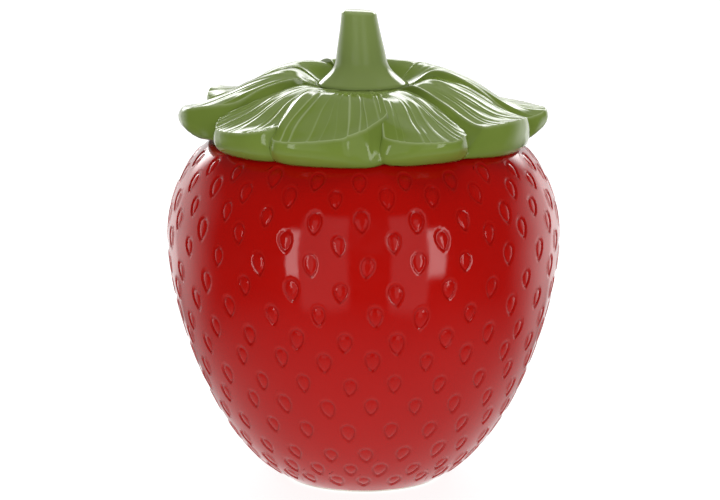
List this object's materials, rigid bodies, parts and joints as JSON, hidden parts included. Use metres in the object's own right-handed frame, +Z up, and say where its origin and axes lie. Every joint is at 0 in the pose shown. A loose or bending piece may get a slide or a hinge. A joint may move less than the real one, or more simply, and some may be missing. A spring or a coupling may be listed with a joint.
{
  "type": "porcelain storage jar",
  "caption": "Glazed porcelain storage jar shaped like a strawberry, with a leaf-crown lid, a stem knob and a seal ring on the lid's plug.",
  "frame": {"origin": "centre of the foot, on the table", "axes": "+Z up along the jar's axis, towards the stem; -Y is the front as pictured"},
  "size_m": [0.1668, 0.1668, 0.2],
  "materials": {
    "red_glaze": "gloss",
    "green_glaze": "gloss",
    "white_silicone": "satin"
  },
  "bodies": {
    "jar": {"jar_body": "red_glaze"},
    "seal": {"seal_ring": "white_silicone"},
    "lid": {"lid": "green_glaze"}
  },
  "joints": [
    {"name": "lid_lift", "type": "slide", "parent": "jar", "child": "seal", "axis": [0, 0, 1], "range_m": [0, 0.12]},
    {"name": "lid_turn", "type": "hinge", "parent": "seal", "child": "lid", "pos_m": [0, 0, 0.145], "axis": [0, 0, 1], "continuous": true}
  ]
}
